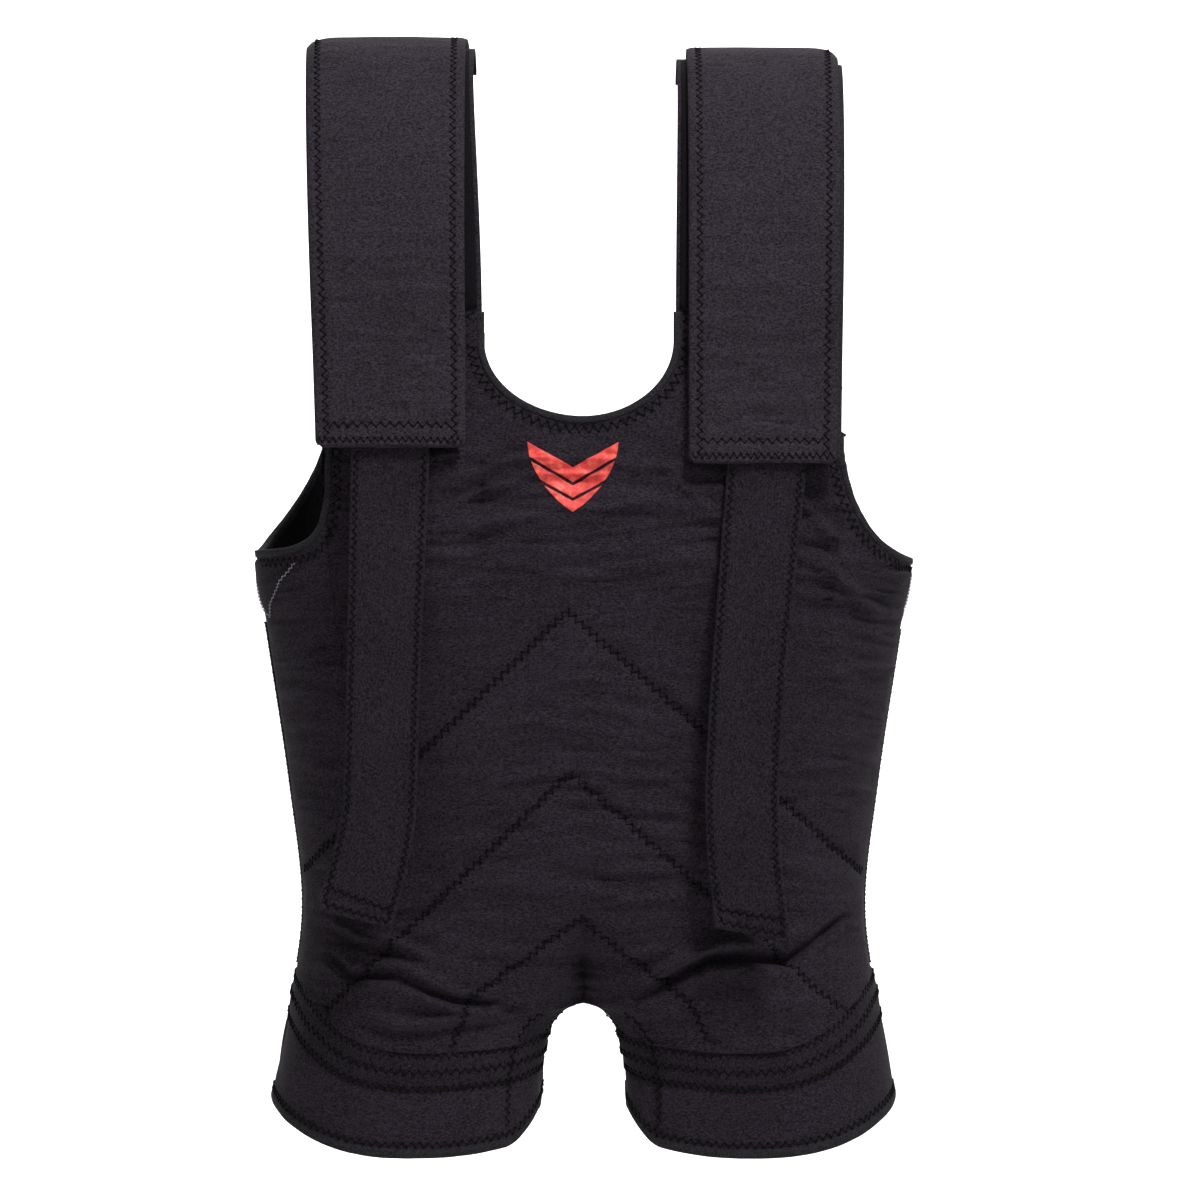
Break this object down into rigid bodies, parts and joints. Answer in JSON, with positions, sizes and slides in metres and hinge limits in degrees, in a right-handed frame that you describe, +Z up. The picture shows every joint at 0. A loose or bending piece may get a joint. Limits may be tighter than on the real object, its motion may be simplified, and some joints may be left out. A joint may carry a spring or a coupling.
{
  "type": "strength sport support suit",
  "caption": "Sleeveless quilted support suit with short legs, wide hook-and-loop shoulder flaps that peel open, and a swinging pull tail under each flap.",
  "frame": {"origin": "on the trunk's vertical axis inside the suit, 320 mm above the lowest points of the leg hems", "axes": "+Z up the trunk, -Y out of the chest, +X to the wearer's left"},
  "size_m": [0.4438, 0.2634, 0.7252],
  "materials": {
    "quilt_cloth": "matte quilted knit, black with a slight plum cast",
    "lining_cloth": "matte black brushed lining",
    "strap_cloth": "matte black loop-faced cloth with edge stitching",
    "webbing": "matte black woven webbing",
    "binding_tape": "dark grey binding tape",
    "hook_and_loop": "black hook-and-loop",
    "red_print": "mottled red transfer print"
  },
  "bodies": {
    "suit": {"front_panel": "quilt_cloth", "front_lining": "lining_cloth", "back_panel": "quilt_cloth", "back_lining": "lining_cloth", "front_neck_binding": "binding_tape", "back_neck_binding": "binding_tape", "crotch_gusset": "quilt_cloth", "chest_emblem": "red_print", "left_armhole_binding": "binding_tape", "right_armhole_binding": "binding_tape", "left_underarm_patch": "webbing", "right_underarm_patch": "webbing", "left_side_seam_tape": "webbing", "right_side_seam_tape": "webbing", "left_inner_thigh_panel": "quilt_cloth", "right_inner_thigh_panel": "quilt_cloth", "left_leg_band": "webbing", "right_leg_band": "webbing", "left_leg_cuff": "quilt_cloth", "right_leg_cuff": "quilt_cloth", "left_hem_binding": "binding_tape", "right_hem_binding": "binding_tape", "left_front_strap": "strap_cloth", "right_front_strap": "strap_cloth", "left_loop_pad": "hook_and_loop", "right_loop_pad": "hook_and_loop", "left_back_strap": "strap_cloth", "right_back_strap": "strap_cloth"},
    "left_flap": {"left_flap": "strap_cloth", "left_hook_pad": "hook_and_loop", "left_tail_anchor": "webbing"},
    "left_tail": {"left_tail": "webbing"},
    "right_flap": {"right_flap": "strap_cloth", "right_hook_pad": "hook_and_loop", "right_tail_anchor": "webbing"},
    "right_tail": {"right_tail": "webbing"}
  },
  "joints": [
    {"name": "left_flap_peel", "type": "hinge", "parent": "suit", "child": "left_flap", "pos_m": [0.12, -0.0116, 0.4055], "axis": [-1, 0, 0], "range_deg": [0, 150]},
    {"name": "left_tail_swing", "type": "hinge", "parent": "left_flap", "child": "left_tail", "pos_m": [0.12, -0.126, 0.1254], "axis": [-1, 0, 0], "range_deg": [0, 90]},
    {"name": "right_flap_peel", "type": "hinge", "parent": "suit", "child": "right_flap", "pos_m": [-0.12, -0.0116, 0.4055], "axis": [-1, 0, 0], "range_deg": [0, 150]},
    {"name": "right_tail_swing", "type": "hinge", "parent": "right_flap", "child": "right_tail", "pos_m": [-0.12, -0.126, 0.1354], "axis": [-1, 0, 0], "range_deg": [0, 90]}
  ]
}
